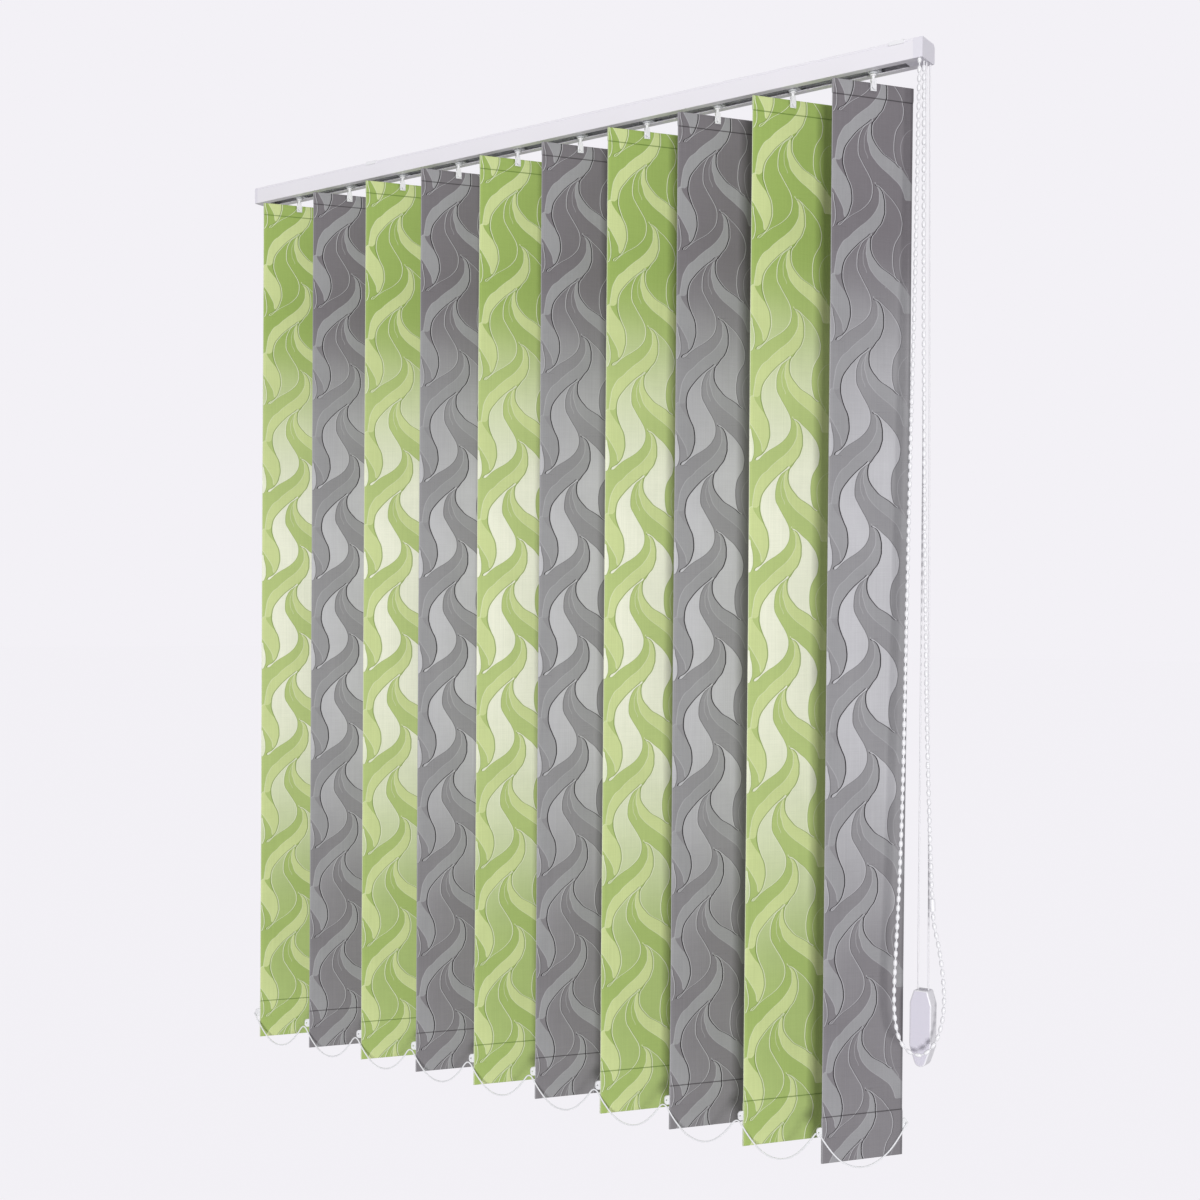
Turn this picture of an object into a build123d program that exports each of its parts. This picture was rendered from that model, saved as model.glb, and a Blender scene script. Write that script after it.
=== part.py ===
"""Vertical blind with ten fabric slats, top-fixed, with its chain and cord controls.

Millimetres. X runs along the headrail towards the controls, Y from the room to the wall,
Z up. The origin is on the ceiling face, midway between the two bracket screw holes.
"""

from build123d import *
import math
import os

os.makedirs("parts", exist_ok=True)

# Headrail and its brackets
rail_length = 1200.0  # over both end caps
rail_depth = 43.0
rail_height = 26.5
rail_wall = 1.4
slot_width = 19.0  # the opening along the underside
groove_drop = 3.0  # from the rail's top to the groove that the brackets grip
groove_height = 1.2
groove_depth = 0.7
bracket_inset_left = 267.0  # from the rail's left end to the bracket's screw
bracket_inset_right = 35.0
bracket_width = 20.0
bracket_sheet = 1.2
bracket_hole_r = 2.25

# Slats
slat_count = 10
slat_width = 127.0
slat_drop = 1444.0
slat_pitch = 115.4
first_slat_inset = 86.4  # from the rail's left end to the first slat's axis
slat_gap = 13.7  # below the rail
fabric = 0.5
rest_tilt = 57.7  # degrees between the rail and the slats
top_pocket = 20.0  # height of the sleeve for the hanger plate
bottom_pocket = 62.0  # height of the sleeve for the weight plate
pocket_ease = 4.0  # where a sleeve closes on the single layer
pocket_room = 1.6  # between the two layers of a sleeve
notch_width = 10.0  # opening at the slat's top for the hook
notch_depth = 10.8
plate_sheet = 1.2
hanger_inset = 4.0  # from the fabric's edge to the hanger plate
hanger_margin = 1.0  # below the hanger plate, in its sleeve
weight_inset = 2.5
weight_margin = 1.2  # above the weight plate, in its sleeve
ear_height = 13.0  # the clip at each end of a weight plate
ear_reach = 8.0  # past the fabric's edge
ear_rise = 36.0  # from the slat's bottom to the clip's lower edge
ear_sheet = 2.0

# Hooks, carriers and the tilting gear
gear_teeth = 12
gear_module = 0.8
gear_height = 6.4
worm_pitch_r = 4.7
rod_r = 2.5
rod_flute = 0.5
spindle_r = 2.2
claw_width = 7.0
claw_drop = 9.5  # below the slat's top
claw_sheet = 1.2
carrier_length = 16.0
carrier_headroom = 2.5  # from a carrier's top to the cord's middle
link_height = 8.0
link_sheet = 0.4
link_step = 0.8  # between the levels of neighbouring spacer links
link_levels = 7

# Tilt chain and draw cord
bead_r = 2.25
bead_pitch = 12.0
sprocket_beads = 4
bead_sink = 0.9  # how deep the beads sit on the sprocket, as a share of its pitch radius
connector_r = 3.5
connector_length = 17.0
cord_r = 1.0
cord_wall_gap = 4.1  # from the rail's inner face to the rear cord's middle
cord_level = 6.8  # from the rail's top to the cord
pulley_r = 6.0  # to the cord's middle
pulley_width = 4.0
pulley_rim = 0.8
axle_r = 1.45
weight_wheel_r = 7.2
wheel_depth = 30.0  # from the weight's top to its wheel's axle
cord_weight_past = 3.2  # from the rail's right end to the weight's middle
cord_weight_top = 1246.0  # below the ceiling
cord_weight_size = (29.0, 22.0, 101.0)
weight_top_width = 20.0
weight_shoulder = 18.0  # from the weight's top to its full width
weight_hip = 74.0  # from its top to where it narrows again
weight_corner_r = 3.0
weight_tip_r = 8.0
weight_rim_r = 2.2
stabiliser_r = 1.1  # the chains between the weight plates
stabiliser_sag = 46.0

# End caps
control_cap = 12.7
return_cap = 6.0
cap_wall = 1.5
cap_insert = 14.3
cap_chamfer = 4.0

# Clearances
seat = 0.3  # where a piece hangs or rests
running = 0.05  # around a shaft
sliding = 0.15

# Places that follow from the sizes above
rail_left = -(bracket_inset_left + rail_length - bracket_inset_right) / 2
rail_right = rail_left + rail_length
rail_top = -bracket_sheet
rail_bottom = rail_top - rail_height
inner_half = rail_depth / 2 - rail_wall
inner_top = rail_top - rail_wall
inner_bottom = rail_bottom + rail_wall
profile_left = rail_left + return_cap
profile_right = rail_right - control_cap
slat_x = [rail_left + first_slat_inset + slat_pitch * i for i in range(slat_count)]
slat_top = rail_bottom - slat_gap
slat_bottom = slat_top - slat_drop
pocket_half = pocket_room / 2 + fabric
hanger_width = slat_width - 2 * hanger_inset
hanger_height = top_pocket - pocket_ease - hanger_margin
weight_width = slat_width - 2 * weight_inset
weight_height = bottom_pocket - pocket_ease - fabric - seat - weight_margin
shaft_z = (rail_top + rail_bottom) / 2
gear_pitch_r = gear_module * gear_teeth / 2
gear_tip_r = gear_pitch_r + gear_module
gear_root_r = gear_pitch_r - 1.25 * gear_module
rod_y = -(gear_pitch_r + worm_pitch_r)
cord_z = rail_top - cord_level
cord_y_rear = inner_half - cord_wall_gap
cord_y_front = cord_y_rear - 2 * pulley_r
carrier_width = 2 * cord_y_rear
carrier_base = inner_bottom + seat
carrier_top = cord_z - carrier_headroom
sprocket_r = bead_pitch / (2 * math.sin(math.pi / sprocket_beads)) * bead_sink
sprocket_x = rail_right - 5.5
sprocket_groove = 2 * (bead_r + seat)
pulley_x = rail_right - 10.0
pulley_z = cord_z - pulley_r
return_x = profile_left + 7.0
return_y = (cord_y_front + cord_y_rear) / 2
weight_x = rail_right + cord_weight_past
ear_tip = slat_width / 2 + ear_reach
ear_z = slat_bottom + ear_rise + ear_height / 2


def box(x, y, z):
    """A box from its limits along each axis."""
    size = (x[1] - x[0], y[1] - y[0], z[1] - z[0])
    return Pos(sum(x) / 2, sum(y) / 2, sum(z) / 2) * Box(*size)


def rod_between(a, b, radius):
    """A cylinder from point a to point b."""
    a, b = Vector(*a), Vector(*b)
    return Solid.make_cylinder(radius, (b - a).length, Plane(a, z_dir=b - a))


def tube(points, radii, radius):
    """A round tube along straight runs joined by tangent arcs."""
    path = FilletPolyline(*points, radius=radii)
    start = Plane(path @ 0, z_dir=path % 0)
    solid = sweep(start * Circle(radius), path=path)
    share = solid.volume / (math.pi * radius**2 * path.length)
    print(f"tube length {path.length:.0f}, volume over section x length {share:.4f}")
    return solid


def bend_radii(points, tight=None):
    """0.45 of the shorter run over the tangent of half the turn, for each corner."""
    tight, radii = tight or {}, []
    for i in range(1, len(points) - 1):
        a, b, c = (Vector(*points[k]) for k in (i - 1, i, i + 1))
        turn = math.radians((b - a).get_angle(c - b))
        shorter = min((b - a).length, (c - b).length)
        radii.append(tight.get(i) or 0.45 * shorter / math.tan(turn / 2))
    print("bend radii", [round(r, 1) for r in radii])
    return radii


def save(name, *solids):
    """Write one node."""
    export_step(Compound(children=list(solids)) if len(solids) > 1 else solids[0],
                f"parts/{name}.step")


def rail_section():
    """The headrail's C section with a bracket groove in each side, in the YZ plane."""
    outer = Rectangle(rail_depth, rail_height)
    outer = fillet(outer.vertices(), 0.8)
    inner = Rectangle(rail_depth - 2 * rail_wall, rail_height - 2 * rail_wall)
    slot = Pos(0, -rail_height / 2) * Rectangle(slot_width, 3 * rail_wall)
    groove_at = rail_height / 2 - groove_drop - groove_height / 2
    groove = Rectangle(2 * groove_depth, groove_height)
    section = outer - inner - slot
    for side in (-1, 1):
        section -= Pos(side * rail_depth / 2, groove_at) * groove
    return section


def along_x(section, start, length):
    """Extrude a YZ section along X, from start."""
    plane = Plane(origin=(start, 0, shaft_z), x_dir=(0, 1, 0), z_dir=(1, 0, 0))
    return extrude(plane * section, length)


def headrail():
    return along_x(rail_section(), profile_left, profile_right - profile_left)


def bracket(x):
    """A folded clip bracket: a plate on the ceiling and a lip in each rail groove."""
    half = rail_depth / 2 + 0.1
    lip_low = rail_top - groove_drop - groove_height + 0.15
    spread = (x - bracket_width / 2, x + bracket_width / 2)
    plate = box(spread, (-half - bracket_sheet, half + bracket_sheet), (rail_top, 0))
    for side in (-1, 1):
        out = sorted((side * half, side * (half + bracket_sheet)))
        toe = sorted((side * (half - groove_depth + 0.1), side * (half + bracket_sheet)))
        plate += box(spread, out, (lip_low, rail_top))
        plate += box(spread, toe, (lip_low, lip_low + groove_height - 0.3))
    return plate - rod_between((x, 0, rail_top - 1), (x, 0, 1), bracket_hole_r)


def cap_profile():
    """An end cap's outline: the rail's, with its rear corners eased."""
    outline = Rectangle(rail_depth, rail_height)
    rear = outline.vertices().sort_by(Axis.X)[2:]
    top, low = rear.sort_by(Axis.Y)[1], rear.sort_by(Axis.Y)[0]
    outline = chamfer(top, cap_chamfer)
    low = outline.vertices().sort_by(Axis.Y)[0:2].sort_by(Axis.X)[1]
    outline = fillet(low, 3.0)
    front = outline.vertices().sort_by(Axis.X)[0:2]
    return fillet(front, 0.8)


def insert_frame(start, length):
    """The collar of a cap that plugs into the rail, with a tongue that closes the slot."""
    half, top, low = inner_half - 0.1, inner_top - 0.1, inner_bottom + 0.1
    span = (start, start + length)
    collar = box(span, (-half, half), (low, top))
    collar -= box(span, (-half + cap_wall, half - cap_wall), (low + cap_wall, top - cap_wall))
    half = slot_width / 2 - 0.1
    return collar + box(span, (-half, half), (rail_bottom, low + 0.1))


def end_cap_return():
    """Left cap, with the cord's return post and the tilt rod's end bearing."""
    cap = along_x(cap_profile(), rail_left, return_cap)
    cap -= box((rail_left + cap_wall, profile_left), (-inner_half + 1.5, inner_half - 1.5),
               (inner_bottom + 1.6, inner_top - 1.6))
    cap += insert_frame(profile_left, cap_insert)
    bearing = (profile_left - 2.0, profile_left + 2.0)
    wall = (-inner_half + 1.0, cord_y_front - pulley_r + 1.0)
    cap += box(bearing, wall, (inner_bottom + 1.0, inner_top - 1.0))
    cap -= rod_between((rail_left + cap_wall, rod_y, shaft_z),
                       (profile_left + 5, rod_y, shaft_z), rod_r + running)
    foot = cord_z - pulley_width / 2
    cap += rod_between((return_x, return_y, inner_bottom + 1), (return_x, return_y, foot - seat), 4)
    cap += rod_between((return_x, return_y, foot - 1),
                       (return_x, return_y, foot + pulley_width + 0.6), axle_r)
    return cap


def end_cap_control():
    """Right cap: a chain chamber in front and a cord chamber with its pulley axle behind."""
    web = (0.75, 1.75)
    room = (-inner_half, inner_half)
    hollow = (inner_bottom, inner_top)
    cap = along_x(cap_profile(), profile_right, control_cap)
    inside = (profile_right, rail_right - cap_wall)
    cap -= box(inside, (room[0], room[1] - cap_chamfer / 2), hollow)
    cap += insert_frame(profile_right - cap_insert, cap_insert)
    cap -= box((profile_right - 1, rail_right - cap_wall),
               (room[0] + cap_wall, room[1] - cap_wall - cap_chamfer / 2),
               (inner_bottom + cap_wall + 0.1, inner_top - cap_wall - 0.1))
    cap += box((pulley_x - 8, rail_right - cap_wall + 0.1), web, hollow)
    bulkhead = (profile_right - 0.5, profile_right + 1.5)
    cap += box(bulkhead, (room[0] + 0.1, web[1]), (inner_bottom + 0.1, inner_top - 0.1))
    cap -= rod_between((bulkhead[0] - 1, rod_y, shaft_z), (bulkhead[1] + 1, rod_y, shaft_z),
                       rod_r + running)
    axle_end = room[1] - cap_wall - cap_chamfer / 2 + 0.5
    cap += rod_between((pulley_x, web[0], pulley_z), (pulley_x, axle_end, pulley_z), axle_r)
    floor = (rail_bottom - 1, shaft_z)
    for y in (rod_y - sprocket_r, rod_y + sprocket_r):
        cap -= rod_between((sprocket_x, y, floor[0]), (sprocket_x, y, floor[1] - 8), bead_r + 0.6)
    for y in (cord_y_front, cord_y_rear):
        x = pulley_x + pulley_r
        cap -= rod_between((x, y, floor[0]), (x, y, floor[1]), cord_r + 0.5)
    return cap


def tilt_rod():
    """The fluted rod that turns every worm, round where it runs in a bearing."""
    ends = (profile_left - 1.5, rail_right - cap_wall - seat)
    rod = rod_between((ends[0], rod_y, shaft_z), (ends[1], rod_y, shaft_z), rod_r)
    for turn in range(0, 360, 90):
        y = rod_y + rod_r * math.cos(math.radians(turn))
        z = shaft_z + rod_r * math.sin(math.radians(turn))
        rod -= rod_between((profile_left + 6, y, z), (profile_right - 6, y, z), rod_flute)
    return rod


def chain_sprocket():
    """A spool whose flanges are notched for the beads."""
    groove_r = sprocket_r - bead_r - seat
    flange_r = sprocket_r + 0.8
    half = sprocket_groove / 2
    left = (sprocket_x - half - 1.0, rod_y, shaft_z)
    right = (sprocket_x + half + 1.0, rod_y, shaft_z)
    wheel = rod_between(left, right, flange_r)
    ring = rod_between((sprocket_x - half, rod_y, shaft_z), (sprocket_x + half, rod_y, shaft_z),
                       flange_r + 1)
    ring -= rod_between(left, right, groove_r)
    wheel -= ring
    for bead in range(sprocket_beads):
        angle = 2 * math.pi * (bead + 0.5) / sprocket_beads
        y = rod_y + (flange_r + 0.6) * math.cos(angle)
        z = shaft_z + (flange_r + 0.6) * math.sin(angle)
        wheel -= rod_between((left[0] - 1, y, z), (right[0] + 1, y, z), 1.6)
    return wheel - rod_between(left, right, rod_r + running)


def grooved_wheel(centre, axis, middle_r, width):
    """A cord wheel: groove, two rims and a bore."""
    centre, axis = Vector(*centre), Vector(*axis)
    plane = Plane(centre - axis * (width / 2), z_dir=axis)
    rim = middle_r + pulley_rim
    groove_r = middle_r - cord_r - sliding
    wheel = Solid.make_cylinder(rim, width, plane)
    room = Plane(centre - axis * (cord_r + sliding), z_dir=axis)
    gap = 2 * (cord_r + sliding)
    ring = Solid.make_cylinder(rim + 1, gap, room) - Solid.make_cylinder(groove_r, gap, room)
    return wheel - ring - Solid.make_cylinder(axle_r + running, width, plane)


def gear(x):
    """The hook's gear wheel, its teeth as straight-sided cogs."""
    low = shaft_z - gear_height / 2
    wheel = Cylinder(gear_root_r, gear_height)
    half_root, half_tip = 0.62 * gear_module, 0.34 * gear_module
    tooth = Polygon((gear_root_r - 0.4, -half_root - 0.2), (gear_tip_r - 0.05, -half_tip),
                    (gear_tip_r - 0.05, half_tip), (gear_root_r - 0.4, half_root + 0.2), align=None)
    for k in range(gear_teeth):
        turn = Rot(0, 0, 360 / gear_teeth * (k + 0.5))
        wheel += turn * Pos(0, 0, -gear_height / 2) * extrude(tooth, gear_height)
    return Pos(x, 0, low + gear_height / 2) * wheel


def carrier(index):
    """A carrier block with its worm and, from the second on, the spacer link to its left."""
    x = slat_x[index]
    half = carrier_length / 2
    span = (x - half, x + half)
    block = box(span, (-carrier_width / 2, carrier_width / 2), (carrier_base, carrier_top))
    block += rod_between((x, 0, rail_bottom - 1.8), (x, 0, carrier_base), 5.5)
    pocket_low = shaft_z - gear_height / 2 - seat
    block -= rod_between((x, 0, pocket_low), (x, 0, carrier_top + 1), gear_tip_r + seat)
    block -= rod_between((x, 0, rail_bottom - 3), (x, 0, pocket_low + 1), spindle_r + running)
    barrel, journal, barrel_half = 4.6, 3.6, 5.0
    block -= rod_between((x - barrel_half - 0.2, rod_y, shaft_z),
                         (x + barrel_half + 0.2, rod_y, shaft_z), barrel + 0.2)
    block -= rod_between((span[0] - 1, rod_y, shaft_z), (span[1] + 1, rod_y, shaft_z),
                         journal + running)
    window_low = carrier_base + 2.0
    window_y = 8.6
    window_width = link_levels * link_step + 0.6
    block -= box((span[0] - 1, span[1] + 1), (window_y, window_y + window_width),
                 (window_low, window_low + link_height + 2.0))
    if index == 0:
        clamp = box((x - 5, x + 5), (cord_y_rear - 2.6, cord_y_rear + 2.6),
                    (carrier_top, cord_z + 2.4))
        shoulder = box((x - 5, x + 5), (cord_y_rear - 4.0, carrier_width / 2),
                       (carrier_top - 1, carrier_top + 1))
        block += clamp + shoulder
        block -= rod_between((x - 6, cord_y_rear, cord_z), (x + 6, cord_y_rear, cord_z),
                             cord_r + sliding)
    worm = rod_between((span[0], rod_y, shaft_z), (span[1], rod_y, shaft_z), journal)
    worm += rod_between((x - barrel_half, rod_y, shaft_z), (x + barrel_half, rod_y, shaft_z), barrel)
    worm -= rod_between((x, 0, rail_bottom), (x, 0, rail_top), gear_tip_r + sliding)
    worm -= rod_between((span[0] - 1, rod_y, shaft_z), (span[1] + 1, rod_y, shaft_z),
                        rod_r + sliding)
    solids = [block, worm]
    if index:
        level = window_y + 0.4 + link_step * (index % link_levels)
        strip = (level, level + link_sheet)
        link_left = x - slat_pitch - half
        link = box((link_left, x + half), strip,
                   (window_low + seat, window_low + seat + link_height))
        link += box((x - half + 1, x + half - 1), strip, (window_low, window_low + seat + 1))
        solids.append(link)
    return solids


def turned(shape, index):
    """Set a slat piece, modelled with its width along X, at its axis and tilt."""
    return Pos(slat_x[index], 0, 0) * Rot(0, 0, rest_tilt) * shape


def hook(index):
    """The spindle with its gear above and its claw, rear prong and tooth below."""
    foot = shaft_z - gear_height / 2
    yoke = (rail_bottom - 8.5, rail_bottom - 11.5)
    piece = gear(0) + rod_between((0, 0, yoke[0] - 1), (0, 0, foot + 1), spindle_r)
    piece += rod_between((0, 0, rail_bottom - 4.2), (0, 0, rail_bottom - 2.2), 4.2)
    prong = (pocket_room / 2 + 0.05, pocket_room / 2 + 0.05 + claw_sheet)
    half = claw_width / 2
    piece += box((-half, half), (-prong[1], prong[1]), (yoke[1], yoke[0]))
    tip = slat_top - claw_drop
    top = yoke[1] + 1
    outline = (Line((-half, top), (half, top)) + Line((half, top), (half, tip + 2.5))
               + ThreePointArc((half, tip + 2.5), (half - 0.9, tip + 0.4), (half - 2.6, tip + 0.5))
               + ThreePointArc((half - 2.6, tip + 0.5), (-half + 1.3, tip + 4.6), (-half, top)))
    claw = extrude(Plane.XZ * make_face(outline), claw_sheet)
    piece += Pos(0, -prong[0], 0) * claw
    piece += box((-2.5, 2.5), prong, (tip + 1.5, top))
    peg_z = slat_top - 6.0
    return turned(piece + rod_between((0, prong[0] + 0.2, peg_z), (0, -prong[0] + seat, peg_z), 1.4),
                  index)


def slat(index):
    """The fabric strip with a sleeve at its top and another at its bottom."""
    top, low = slat_top, slat_bottom
    thin, thick = fabric / 2, pocket_half
    upper, lower = top - top_pocket, low + bottom_pocket
    ease = pocket_ease
    outer = [(thick, top), (thick, upper + ease), (thin, upper), (thin, lower),
             (thick, lower - ease), (thick, low)]
    outline = Polyline(*outer, *[(-y, z) for y, z in reversed(outer)], close=True)
    section = make_face(outline)
    room = pocket_room / 2
    inner_top_sleeve = Polyline((room, top + 1), (room, upper + ease), (0, upper + 0.6),
                                (-room, upper + ease), (-room, top + 1), close=True)
    inner_low_sleeve = Polyline((room, low + fabric), (room, lower - ease), (0, lower - 0.6),
                                (-room, lower - ease), (-room, low + fabric), close=True)
    section -= make_face(inner_top_sleeve)
    section -= make_face(inner_low_sleeve)
    cross = Plane(origin=(-slat_width / 2, 0, 0), x_dir=(0, 1, 0), z_dir=(1, 0, 0))
    strip = extrude(cross * section, slat_width)
    notch = box((-notch_width / 2, notch_width / 2), (-5, 5), (top - notch_depth, top + 1))
    strip -= fillet(notch.edges().filter_by(Axis.Y).sort_by(Axis.Z)[:2], 3.0)
    return turned(strip, index)


def plates(index):
    """The hanger plate in the top sleeve and the weight plate in the bottom one."""
    half = plate_sheet / 2
    peg_z = slat_top - 6.0
    top = slat_top - 0.5
    hanger = box((-hanger_width / 2, hanger_width / 2), (-half, half), (top - hanger_height, top))
    hanger = fillet(hanger.edges().filter_by(Axis.Y), 2.0)
    hanger -= rod_between((0, -2, peg_z - 0.5), (0, 2, peg_z - 0.5), 2.2)
    low = slat_bottom + fabric + seat
    weight = box((-weight_width / 2, weight_width / 2), (-half, half), (low, low + weight_height))
    weight = fillet(weight.edges().filter_by(Axis.Y), 3.0)
    for side in (-1, 1):
        reach = sorted((side * (slat_width / 2 + 0.4), side * ear_tip))
        neck = sorted((side * (weight_width / 2 - 4), side * (slat_width / 2 + 1)))
        ear_span = (ear_z - ear_height / 2, ear_z + ear_height / 2)
        ear = box(reach, (-ear_sheet / 2, ear_sheet / 2), ear_span)
        outer = ear.edges().filter_by(Axis.Y).sort_by(Axis.X)
        ear = fillet(outer[:2] if side < 0 else outer[2:], 4.5)
        eye = side * (ear_tip - 3.0)
        ear -= rod_between((eye, -2, ear_z), (eye, 2, ear_z), 1.2)
        weight += ear + box(neck, (-half, half), ear_span)
    return turned(hanger, index), turned(weight, index)


def stabiliser_route(side):
    """A chain from the first slat's ear to the last one's, sagging in between."""
    angle = math.radians(rest_tilt)
    out = side * ear_tip
    y = out * math.sin(angle) + side * (ear_sheet / 2 + stabiliser_r + seat)
    sag = ((0.0, 0.0), (0.13, -0.48), (0.31, -0.9), (0.5, -1.03), (0.69, -0.9), (0.87, -0.48))
    points = []
    for x in slat_x[:-1]:
        start = x + out * math.cos(angle)
        points += [(start + slat_pitch * u, y, ear_z + stabiliser_sag * v) for u, v in sag]
    points.append((slat_x[-1] + out * math.cos(angle), y, ear_z))
    return points


def stabiliser(side):
    points = stabiliser_route(side)
    ears = {6 * k: 2.4 for k in range(1, slat_count - 1)}
    return tube(points, bend_radii(points, ears), stabiliser_r)


def tail_route():
    """The last span, from the last slat's front ear to its rear one, before its face."""
    angle = math.radians(rest_tilt)
    along = Vector(math.cos(angle), math.sin(angle), 0)
    front = Vector(math.sin(angle), -math.cos(angle), 0) * (pocket_half + stabiliser_r + seat)
    first = ear_tip - 1.5
    sag = ((-1.0, 0.0), (-0.78, -0.5), (-0.42, -1.02), (0.06, -1.2), (0.5, -0.92), (0.82, -0.42),
           (1.0, 0.0))
    middle = Vector(slat_x[-1], 0, ear_z) + front
    return [tuple(middle + along * (first * u) + Vector(0, 0, stabiliser_sag * v))
            for u, v in sag]


def stabiliser_tail():
    points = tail_route()
    return tube(points, bend_radii(points), stabiliser_r)


def bead_route():
    """From the connector's top over the sprocket, down in front and back to its foot.

    Each point is (from the rail's right end, Y, below the ceiling).
    """
    sprocket = sprocket_x - rail_right
    rear, front = rod_y + sprocket_r, rod_y - sprocket_r
    over = -(shaft_z + sprocket_r)
    up = [(20.0, -7.0, 1122.0), (17.5, -6.6, 1074.0), (14.0, -6.0, 1005.0), (9.0, -5.0, 880.0),
          (3.5, -3.8, 650.0), (-1.5, -2.6, 380.0)]
    turn = [(sprocket, rear, over), (sprocket, front, over)]
    down = [(-6.0, -21.5, 300.0), (-7.6, -29.0, 560.0), (-8.6, -33.5, 800.0), (-9.4, -36.0, 960.0),
            (-11.5, -37.6, 1080.0), (-14.5, -38.6, 1165.0), (-17.0, -39.0, 1225.0),
            (-17.6, -38.6, 1268.0), (-13.0, -36.6, 1302.0), (-2.0, -33.5, 1320.0),
            (16.0, -30.0, 1325.0), (30.0, -26.0, 1312.0), (39.0, -21.0, 1288.0),
            (41.5, -16.5, 1255.0), (37.5, -12.5, 1218.0), (30.0, -9.6, 1180.0),
            (22.2, -7.5, 1154.0), (21.0, -7.2, 1139.0)]
    return [(rail_right + x, y, -z) for x, y, z in up + turn + down]


def bead_chain():
    points = bead_route()
    over = next(i for i, p in enumerate(points) if p[1] == rod_y + sprocket_r)
    tight = {over: sprocket_r - 0.02, over + 1: sprocket_r - 0.02}
    return tube(points, bend_radii(points, tight), bead_r)


def chain_connector():
    """The clip that joins the chain's two ends."""
    points = bead_route()
    top, foot = Vector(*points[0]), Vector(*points[-1])
    inset = (top - foot).normalized() * (seat / 2)
    body = rod_between(foot + inset, top - inset, connector_r)
    return fillet(body.edges(), 1.2)


def draw_cord_route():
    """One loop, clamped on the lead carrier: return pulley, rail, pulleys and weight."""
    end_gap = 0.5
    x0 = slat_x[0]
    down_x = pulley_x + pulley_r
    wheel_low = weight_wheel_z() - weight_wheel_r
    left, right = weight_x - weight_wheel_r - 0.05, weight_x + weight_wheel_r + 0.05
    back = return_x - pulley_r
    return [(x0 - end_gap, cord_y_rear, cord_z), (back, cord_y_rear, cord_z),
            (back, cord_y_front, cord_z),
            (down_x, cord_y_front, cord_z), (left, return_y, wheel_low),
            (right, return_y, wheel_low), (down_x, cord_y_rear, cord_z),
            (x0 + end_gap, cord_y_rear, cord_z)]


def weight_wheel_z():
    return -(cord_weight_top + wheel_depth)


def draw_cord():
    radii = [pulley_r - 0.02] * 3 + [weight_wheel_r] * 2 + [pulley_r - 0.02]
    print("bend radii", radii)
    return tube(draw_cord_route(), radii, cord_r)


def cord_weight():
    """A drop-shaped weight with a slot for the cord's wheel and the wheel's axle."""
    width, depth, height = cord_weight_size
    r = weight_corner_r
    corners = [(weight_top_width / 2 - r, -r), (width / 2 - r, -weight_shoulder),
               (width / 2 - r, -weight_hip)]
    circles = [Pos(side * x, z) * Circle(r) for x, z in corners for side in (-1, 1)]
    circles.append(Pos(0, -height + weight_tip_r) * Circle(weight_tip_r))
    outline = make_hull([edge for c in circles for edge in c.edges()])
    plane = Plane(origin=(weight_x, return_y + depth / 2, -cord_weight_top), x_dir=(1, 0, 0),
                  z_dir=(0, -1, 0))
    body = extrude(plane * outline, depth)
    rims = body.edges().filter_by(lambda e: abs(e.center().Y - return_y) > depth / 2 - 0.01)
    body = fillet(rims, weight_rim_r)
    wheel_z = weight_wheel_z()
    room = weight_wheel_r + pulley_rim + 0.4
    half = cord_r + 0.5
    body -= box((weight_x - room, weight_x + room), (return_y - half, return_y + half),
                (wheel_z, -cord_weight_top + 1))
    half = pulley_width / 2 + 0.2
    body -= rod_between((weight_x, return_y - half, wheel_z), (weight_x, return_y + half, wheel_z),
                        room + 0.6)
    half += 0.5
    return body + rod_between((weight_x, return_y - half, wheel_z),
                              (weight_x, return_y + half, wheel_z), axle_r)


save("headrail", headrail())
save("ceiling_brackets", bracket(rail_left + bracket_inset_left),
     bracket(rail_right - bracket_inset_right))
save("end_cap_return", end_cap_return())
save("end_cap_control", end_cap_control())
save("tilt_rod", tilt_rod())
save("chain_sprocket", chain_sprocket())
save("return_pulley", grooved_wheel((return_x, return_y, cord_z), (0, 0, 1), pulley_r, pulley_width))
save("cord_pulley_front",
     grooved_wheel((pulley_x, cord_y_front, pulley_z), (0, 1, 0), pulley_r, pulley_width))
save("cord_pulley_rear",
     grooved_wheel((pulley_x, cord_y_rear, pulley_z), (0, 1, 0), pulley_r, pulley_width))
save("cord_weight", cord_weight())
save("weight_wheel",
     grooved_wheel((weight_x, return_y, weight_wheel_z()), (0, 1, 0), weight_wheel_r, pulley_width))
save("draw_cord", draw_cord())
save("bead_chain", bead_chain())
save("chain_connector", chain_connector())
save("front_chain", stabiliser(-1))
save("rear_chain", stabiliser(1))
save("tail_chain", stabiliser_tail())
for i in range(slat_count):
    number = f"{i + 1:02d}"
    save(f"carrier_{number}", *carrier(i))
    save(f"hook_{number}", hook(i))
    save(f"slat_{number}", slat(i))
    save(f"plates_{number}", *plates(i))
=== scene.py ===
"""Looks of a vertical blind with ten fabric slats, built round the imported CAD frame.

Metres, in the CAD's frame: X along the headrail towards the controls, Y from the room to the
wall, Z up. The origin is on the ceiling face, midway between the two bracket screws.
"""
import math

import bmesh
import bpy
from mathutils import Matrix, Vector


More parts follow.
